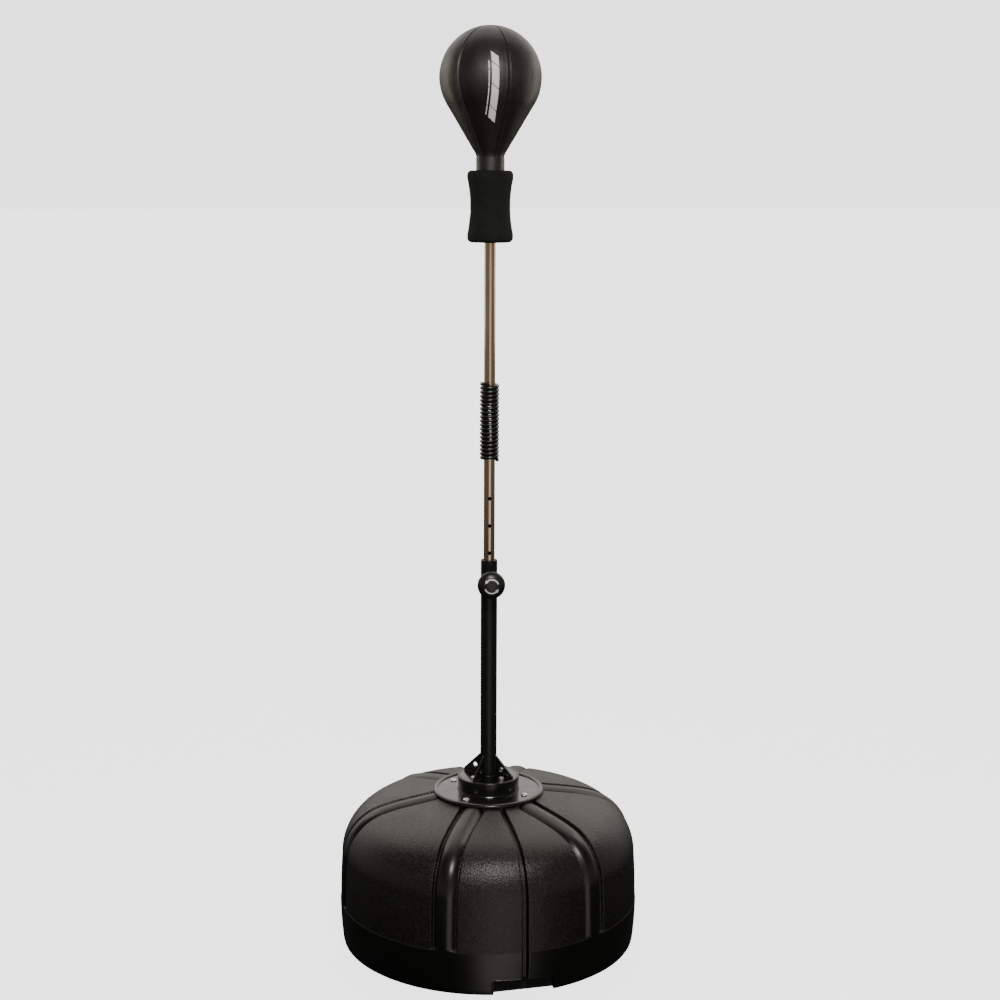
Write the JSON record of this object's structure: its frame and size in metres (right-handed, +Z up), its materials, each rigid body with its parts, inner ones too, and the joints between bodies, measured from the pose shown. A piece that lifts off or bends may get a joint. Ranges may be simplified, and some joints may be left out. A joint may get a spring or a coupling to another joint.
{
  "type": "speed bag platform",
  "caption": "Free-standing speed bag on a height-adjustable pole with a coil spring, over a hollow round base that is filled with sand or water.",
  "frame": {"origin": "centre of the base's underside, on the floor", "axes": "+Z up the pole, -Y towards the hand recess at the front, +X to the right seen from the front; the lock knob stands 9 degrees to the -X side of the front"},
  "size_m": [0.5499, 0.55, 1.6536],
  "materials": {
    "tub_plastic": "fine grained black polyethylene",
    "black_steel": "gloss black powder coat",
    "spring_steel": "semi-gloss black coat",
    "screw_steel": "zinc plated",
    "bronze_chrome": "bronze-tinted plating",
    "knob_plastic": "satin black",
    "nylon": "plain",
    "brass": "plain",
    "seal_rubber": "plain",
    "foam": "matte closed-cell foam",
    "bag_leather": "satin black grained",
    "bladder_rubber": "plain"
  },
  "bodies": {
    "base": {"base_tub": "tub_plastic", "tub_inserts": "brass", "mounting_flange": "black_steel", "flange_screws": "screw_steel", "hub_cup": "black_steel", "foot_plate": "black_steel", "foot_bolts": "screw_steel", "foot_nuts": "screw_steel", "gusset_1": "black_steel", "gusset_2": "black_steel", "gusset_3": "black_steel", "gusset_4": "black_steel", "post_tube": "black_steel", "guide_bush": "nylon", "lock_boss": "black_steel", "lock_barrel": "black_steel", "lock_spring": "screw_steel"},
    "cap": {"filler_cap": "tub_plastic", "cap_seal": "seal_rubber"},
    "plunger": {"lock_pin": "screw_steel"},
    "knob": {"lock_knob": "knob_plastic", "knob_insert": "brass"},
    "inner_pole": {"adjust_tube": "bronze_chrome", "glide_plug": "nylon", "lower_spring_plug": "black_steel"},
    "spring": {"coil_spring": "spring_steel"},
    "upper_pole": {"upper_tube": "bronze_chrome", "upper_spring_plug": "black_steel", "foam_pad": "foam", "tube_top_plug": "screw_steel", "bag_stud": "screw_steel", "neck_plug": "nylon", "bag_cover": "bag_leather", "bag_bladder": "bladder_rubber", "bladder_valve": "bladder_rubber"}
  },
  "joints": [
    {"name": "height_slide", "type": "slide", "parent": "base", "child": "inner_pole", "axis": [0, 0, 1], "range_m": [-0.15, 0.1]},
    {"name": "flex_side", "type": "hinge", "parent": "inner_pole", "child": "spring", "pos_m": [0, 0, 0.945], "axis": [0, 1, 0], "range_deg": [-40, 40], "stiffness_Nm_per_rad": 24, "deforming": ["coil_spring"]},
    {"name": "flex_front", "type": "hinge", "parent": "spring", "child": "upper_pole", "pos_m": [0, 0, 0.984], "axis": [1, 0, 0], "range_deg": [-40, 40], "stiffness_Nm_per_rad": 24, "deforming": ["coil_spring"]},
    {"name": "knob_pull", "type": "slide", "parent": "base", "child": "plunger", "axis": [-0.1564, -0.9877, 0], "range_m": [0, 0.008], "stiffness_N_per_m": 900, "springref_m": -0.004, "deforming": ["lock_spring"]},
    {"name": "knob_turn", "type": "hinge", "parent": "plunger", "child": "knob", "pos_m": [-0.00782, -0.04938, 0.679], "axis": [-0.1564, -0.9877, 0], "continuous": true},
    {"name": "cap_lift", "type": "slide", "parent": "base", "child": "cap", "axis": [0, 0, 1], "range_m": [0, 0.03]}
  ]
}
